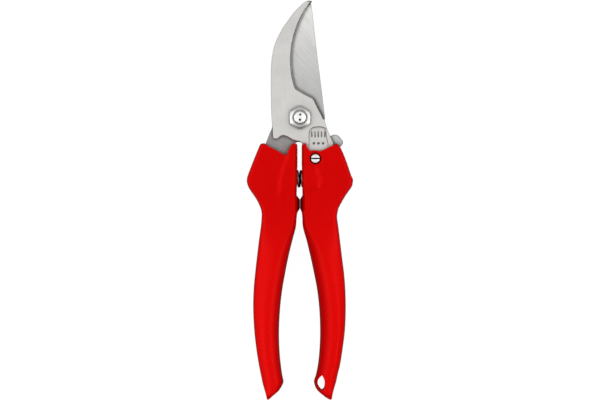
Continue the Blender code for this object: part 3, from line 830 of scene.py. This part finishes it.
def catch_room():
    """Cutters in the right handle: the catch's slot, its screw's holes and its nut's pocket."""
    low, high = heights("catch_lever")
    low, high = low - 0.3, high + 0.5
    return [
        prism("swing", [CATCH_AXIS, *arc(CATCH_AXIS, 20.0, 12, 106, 24)], low, high),
        hole(CATCH_AXIS, 4.9, low, high),
        hole(CATCH_AXIS, 4.5, low - 0.9, low + 0.1),
        hole(CATCH_AXIS, 2.25, -PAST, HANDLE_HIGH + PAST),
        hole(CATCH_AXIS, 2.78, 12.0, HANDLE_HIGH + PAST),
        hole(CATCH_AXIS, 4.33, -PAST, 3.0, 6),
    ]


def right_grip(look):
    body = grip("right_grip", RIGHT)
    notch = [(2.7, 28.0), (2.8, 26.2), (3.6, 24.6), (4.5, 23.5), (5.3, 23.2), (6.3, 23.45),
             (7.3, 23.55), (8.3, 23.45), (9.5, 23.15), (10.4, 23.4), (18.1, 27.0), (18.8, 28.0)]
    slot = outline(
        smooth([(16.1, 27.2), (17.2, 21.0), (17.6, 13.0), (17.2, 5.0), (16.2, -2.0),
                (15.9, -6.5), (13.9, -9.4), (11.6, -7.5)]),
        smooth([(11.6, -7.5), (11.0, -1.0), (11.2, 6.0), (11.0, 12.0), (9.6, 15.7),
                (6.4, 16.6), (2.9, 17.3), (1.8, 20.5), (1.7, 24.0), (0.7, 27.0)]),
        [(0.7, 30.0), (16.7, 30.0)],
    )
    rim = [(2.85, 13.0), (3.9, 13.0), (3.9, 15.95), (3.75, 16.05), (3.45, 16.35), (3.1, 16.38),
           (2.85, 16.2)]
    boolean(body, "UNION", lathe("screw_rim", CATCH_AXIS, rim, closed=True), sharp=GRIP_SHARP)
    cut(
        body,
        prism("notch", notch, -PAST, HANDLE_HIGH + PAST),
        prism("slot", slot, HOOK_LOW - 0.3, HOOK_HIGH + 0.3),
        *catch_room(),
        spring_pocket(RIGHT),
        prism("hang", smooth([*HANG_HOLE, HANG_HOLE[0]], 8)[:-1], -PAST, HANDLE_HIGH + PAST),
        *screw_holes(HOOK_SCREW),
        sharp=GRIP_SHARP,
    )
    dress(body, HOOK, look, "right_handle")


# ------------------------------------------------------------- the pivot

def hex_reach(flat, degrees):
    """How far a hex outline reaches at an angle; it has a corner at 90 degrees."""
    return flat / cos(radians((degrees - 30.0) % 60 - 30))


def hex_end(middle, flat, z, up):
    """The rings of a nut's chamfered end, from the face at z to the side of the hex."""
    rings = [level_ring(middle, flat * 0.93, z), level_ring(middle, flat * 0.99, z - up * 0.14)]
    hexagon = []
    for k in range(ROUND_SIDES):
        a = 360 * k / ROUND_SIDES
        reach = hex_reach(flat, a)
        drop = 0.16 + (reach - flat) * tan(radians(36))
        x, y = middle[0] + reach * cos(radians(a)), middle[1] + reach * sin(radians(a))
        hexagon.append((x, y, z - up * drop))
    return [*rings, hexagon]


def hex_nut(name, middle, flats, low, high, bore, seat=None):
    """A hex nut with chamfered corners, and a seat for a nylon ring if asked."""
    seat_deep = 1.6
    if seat:
        inside = [(seat + 0.12, high), (seat, high - 0.12), (seat, high - seat_deep),
                  (bore, high - seat_deep)]
    else:
        inside = [(bore + 0.35, high), (bore, high - 0.3)]
    inside += [(bore, low + 0.3), (bore + 0.3, low)]
    rings = [
        *hex_end(middle, flats / 2, low, -1),
        *reversed(hex_end(middle, flats / 2, high, 1)),
        *(level_ring(middle, radius, z) for radius, z in inside),
    ]
    return new_object(name, rings_mesh(rings, closed=True), NUT_SHARP)


def pivot_nut(look):
    low, high = heights("pivot_nut")
    made = hex_nut("pivot_hex_nut", PIVOT, 9.6, low, high, 3.02, seat=3.5)
    dress(made, HOOK, look, "pivot_nut")


def pivot_nut_insert(look):
    low, high = heights("pivot_nut_insert")
    path = [(3.03, low), (3.46, low), (3.46, high - 0.1), (3.38, high), (3.12, high + 0.02),
            (3.03, high - 0.1)]
    made = lathe("pivot_nylon_ring", PIVOT, path, closed=True)
    dress(made, HOOK, look, "pivot_nut_insert")


def pivot_bolt(look):
    """A slotted head at the back and a domed end in front with two punch marks."""
    low, high = heights("pivot_bolt")
    head, head_top, shank = 6.2, 4.1, 3.0
    path = [
        (0.6, low + 0.1), (3.6, low + 0.1), (4.3, low), (head - 0.7, low), (head - 0.25, low + 0.15),
        (head, low + 0.5), (head, head_top - 0.2), (head - 0.15, head_top), (shank, head_top),
        (shank, high - 0.55), (2.86, high - 0.28), (2.6, high - 0.10), (2.2, high - 0.02), (1.2, high),
    ]
    made = lathe("pivot_bolt_turned", PIVOT, path, sharp=TURNED_SHARP)
    x, y = PIVOT
    marks = []
    for dx, dy, reach in ((0.1, 1.3, 0.50), (0.0, -1.15, 0.58)):
        cone = [(0.2, high - 1.3), (reach, high - 0.1), (reach + 0.1, high + 0.4)]
        marks.append(lathe("mark", (x + dx, y + dy), cone, 24))
    slot = [(x - 4.4, y - 0.6), (x + 4.4, y - 0.6), (x + 4.4, y + 0.6), (x - 4.4, y + 0.6)]
    marks.append(prism("driver_slot", slot, -PAST, low + 1.0))
    cut(made, *marks, sharp=TURNED_SHARP)
    dress(made, HOOK, look, "pivot_bolt")


# --------------------------------------------------------------- the catch

def catch_lever(look):
    """A boss on the catch's axis, a thumb tab on the outside and a nose toward the blade."""
    low, high = heights("catch_lever")
    boss = arc(CATCH_AXIS, 4.6, 112, 373, 60)
    tab = smooth([(7.0, 22.5), (10.0, 24.7), (13.0, 25.5), (14.9, 28.5), (15.5, 33), (15.5, 37), (15.5, 42),
                  (15.3, 47), (14.6, 51.5), (13.3, 55.5), (10.8, 61), (9.4, 67), (9.8, 73)], 6)
    nose = smooth([(9.8, 73), (11.3, 74.5), (11.6, 77), (11.6, 82), (11.4, 84.5), (8.0, 88), (5.4, 99)], 6)
    points = even(outline(boss, polar(CATCH_AXIS, tab), polar(CATCH_AXIS, nose)), 0.4)
    layers = [(0.3, low), (0.08, low + 0.1), (0.0, low + 0.3), (0.0, high - 0.4), (0.1, high - 0.14),
              (0.38, high)]
    made = plate("catch_plate", points, layers, sharp=CATCH_SHARP)
    cut(made, hole(CATCH_AXIS, 2.95, low - PAST, high + PAST), sharp=CATCH_SHARP)
    dress(made, CATCH, look, "catch_lever")


def catch_screw(look):
    """A screw with a driver slot across its head."""
    low, high = heights("catch_screw")
    path = [
        (1.2, low), (1.8, low + 0.1), (2.0, low + 0.35), (2.0, 12.3), (2.2, 12.4),
        (2.12, high - 0.25), (2.05, high - 0.08), (1.85, high), (1.0, high + 0.04),
    ]
    made = lathe("catch_screw_slotted", CATCH_AXIS, path, sharp=TURNED_SHARP)
    x, y = CATCH_AXIS
    groove = [(y - 0.46, high + 0.4), (y - 0.06, high - 1.5), (y + 0.06, high - 1.5), (y + 0.46, high + 0.4)]
    ends = [[(x + end, across, z) for across, z in groove] for end in (-4, 4)]
    cut(made, new_object("groove", rings_mesh(ends)), sharp=TURNED_SHARP)
    dress(made, HOOK, look, "catch_screw")


def catch_nut(look):
    low, high = heights("catch_nut")
    made = hex_nut("catch_back_nut", CATCH_AXIS, 7.0, low, high, 2.12)
    dress(made, HOOK, look, "catch_nut")


def tang_screw(node, body, look):
    """A self-tapping screw with a cross recess in its head, which is at the back."""
    low_corner, high_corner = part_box(node)
    low, high = heights(node)
    x = 500 * (low_corner.x + high_corner.x)
    y = 500 * (low_corner.y + high_corner.y)
    path = [(0.5, low), (2.2, low + 0.05), (2.8, low + 0.3), (3.1, low + 0.8), (3.1, 2.35),
            (1.6, 2.4), (1.6, high - 2.0), (0.3, high)]
    made = lathe(node + "_turned", (x, y), path, sides=48)
    corners = [(-1.6, -0.28), (1.6, -0.28), (1.6, 0.28), (-1.6, 0.28)]
    wings = []
    for turn in (40.0, 130.0):
        c, s = cos(radians(turn)), sin(radians(turn))
        wing = [(x + u * c - v * s, y + u * s + v * c) for u, v in corners]
        wings.append(prism("wing", wing, low - PAST, low + 1.1))
    cut(made, *wings)
    dress(made, body, look, node)


# -------------------------------------------------------------- the spring

def spring(look):
    """An hourglass coil between the two handles."""
    wire, waist, end_radius, turns = 0.66, 3.5, 4.6, 10
    steps_a_turn, wire_sides = 40, 14
    low_corner, high_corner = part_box("return_spring")
    start, stop = 1000 * low_corner.x + wire, 1000 * high_corner.x - wire
    steps = turns * steps_a_turn
    rings = []
    for i in range(steps + 1):
        share = i / steps
        angle = 2 * pi * turns * share - pi / 2
        radius = waist + (end_radius - waist) * abs(2 * share - 1) ** 1.3
        # the end turns lie closer together than the middle ones
        lean = share - 0.5
        x = (start + stop) / 2 + (stop - start) * lean * (1.085 - 0.34 * lean * lean)
        centre = Vector((x, SPRING_Y + radius * cos(angle), MID_Z + radius * sin(angle)))
        away = Vector((0, cos(angle), sin(angle)))
        along = Vector((1, 0, 0))
        round_wire = [2 * pi * k / wire_sides for k in range(wire_sides)]
        rings.append([centre + wire * (away * cos(a) + along * sin(a)) for a in round_wire])
    made = new_object("spring_coil", rings_mesh(rings), COIL_SHARP)
    made.data.materials.append(look)
    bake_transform(made)
    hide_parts("return_spring")


# ------------------------------------------------------------ the pieces

def hidden_pieces(look, *nodes):
    """CAD nodes that are seen as they are, in one look."""
    for node in nodes:
        cad = frame["nodes"][node]
        cad.data.materials.clear()
        cad.data.materials.append(look)


def pieces():
    red = moulded_red()
    bright = metal("bright_plated_steel", (0.95, 0.95, 0.94), (0.88, 0.88, 0.87), 0.33)
    plain = metal("zinc_plated_steel", (0.60, 0.60, 0.59), (0.46, 0.46, 0.46), 0.34)
    hook_plate(satin_hook())
    blade_plate(brushed_blade())
    left_grip(red)
    right_grip(red)
    pivot_nut(turned_nut())
    pivot_nut_insert(grey_nylon())
    pivot_bolt(bright)
    catch_lever(metal("satin_catch_steel", (0.52, 0.54, 0.53), (0.41, 0.43, 0.42), 0.42))
    catch_screw(bright)
    catch_nut(plain)
    tang_screw("left_upper_tang_screw", BLADE, plain)
    tang_screw("left_lower_tang_screw", BLADE, plain)
    tang_screw("right_tang_screw", HOOK, plain)
    spring(metal("dark_spring_steel", (0.42, 0.40, 0.39), (0.30, 0.29, 0.285), 0.30, 500.0))
    hidden_pieces(plain, "pivot_spring_washer", "pivot_bush", "catch_bush", "catch_wave_washer")


# ---------------------------------------------------- floor, light, camera

def floor():
    """A plain white floor, just under the back of the handles."""
    half, drop = 3000, -0.2
    bm = bmesh.new()
    corners = [(-half, -half), (half, -half), (half, half), (-half, half)]
    bm.faces.new([bm.verts.new((x, y, drop)) for x, y in corners])
    bmesh.ops.scale(bm, vec=(MM, MM, MM), verts=bm.verts)
    mesh = bpy.data.meshes.new("floor")
    bm.to_mesh(mesh)
    bm.free()
    made = bpy.data.objects.new("floor", mesh)
    bpy.context.scene.collection.objects.link(made)
    look = bpy.data.materials.new("floor_white")
    look.use_nodes = True
    shader = look.node_tree.nodes["Principled BSDF"]
    shader.inputs["Base Color"].default_value = (0.07, 0.07, 0.07, 1)
    shader.inputs["Roughness"].default_value = 0.9
    shader.inputs["Specular IOR Level"].default_value = 0.1
    shader.inputs["Emission Color"].default_value = (1, 1, 1, 1)
    shader.inputs["Emission Strength"].default_value = 0.965
    mesh.materials.append(look)
    made.visible_diffuse = False
    made.visible_glossy = False


def area(name, at, size, power):
    """A rectangular lamp aimed at the middle of the pruner."""
    data = bpy.data.lights.new(name, "AREA")
    data.shape = "RECTANGLE"
    data.size, data.size_y = size
    data.energy = power
    made = bpy.data.objects.new(name, data)
    bpy.context.scene.collection.objects.link(made)
    made.location = at
    made.rotation_euler = (-Vector(at)).to_track_quat("-Z", "Y").to_euler()


def world():
    """A studio that is bright above, a little less so straight up, and dark toward the floor."""
    made = bpy.data.worlds.new("studio")
    bpy.context.scene.world = made
    made.use_nodes = True
    tree = made.node_tree
    back = tree.nodes["Background"]
    coords = tree.nodes.new("ShaderNodeTexCoord")
    along = tree.nodes.new("ShaderNodeVectorMath")
    along.operation = "DOT_PRODUCT"
    along.inputs[1].default_value = (-0.10, 0.25, 0.963)
    ramp = tree.nodes.new("ShaderNodeValToRGB")
    tree.links.new(coords.outputs["Generated"], along.inputs[0])
    tree.links.new(along.outputs["Value"], ramp.inputs["Fac"])
    stops = ramp.color_ramp.elements
    stops[0].position, stops[1].position = 0.05, 0.65
    shades = ((stops[0], 0.06), (stops[1], 0.78), (stops.new(0.88), 0.78), (stops.new(0.97), 0.58))
    for stop, grey in shades:
        stop.color = (grey, grey, grey, 1)
    tree.links.new(ramp.outputs["Color"], back.inputs["Color"])
    back.inputs["Strength"].default_value = 1.0


def camera():
    """Straight above the pruner, from far enough for an almost flat view."""
    distance, view_width, focus_height = 1.6, 0.2857, 0.009
    data = bpy.data.cameras.new("camera")
    made = bpy.data.objects.new("camera", data)
    bpy.context.scene.collection.objects.link(made)
    data.sensor_width = 36.0
    data.lens = data.sensor_width * distance / view_width
    data.clip_start, data.clip_end = 0.05, 20.0
    made.location = (0.0, 0.0, focus_height + distance)
    made.rotation_euler = (0.0, 0.0, 0.0)
    bpy.context.scene.camera = made


pieces()
floor()
world()
area("key", (0.62, 0.10, 0.95), (0.50, 1.0), 2.2)
area("fill", (-0.62, 0.10, 0.95), (0.50, 1.0), 1.9)
area("low_right", (0.26, -0.12, 0.24), (0.12, 0.16), 0.16)
area("low_left", (-0.26, -0.12, 0.24), (0.12, 0.16), 0.13)
camera()
bpy.context.scene.view_settings.view_transform = "Standard"
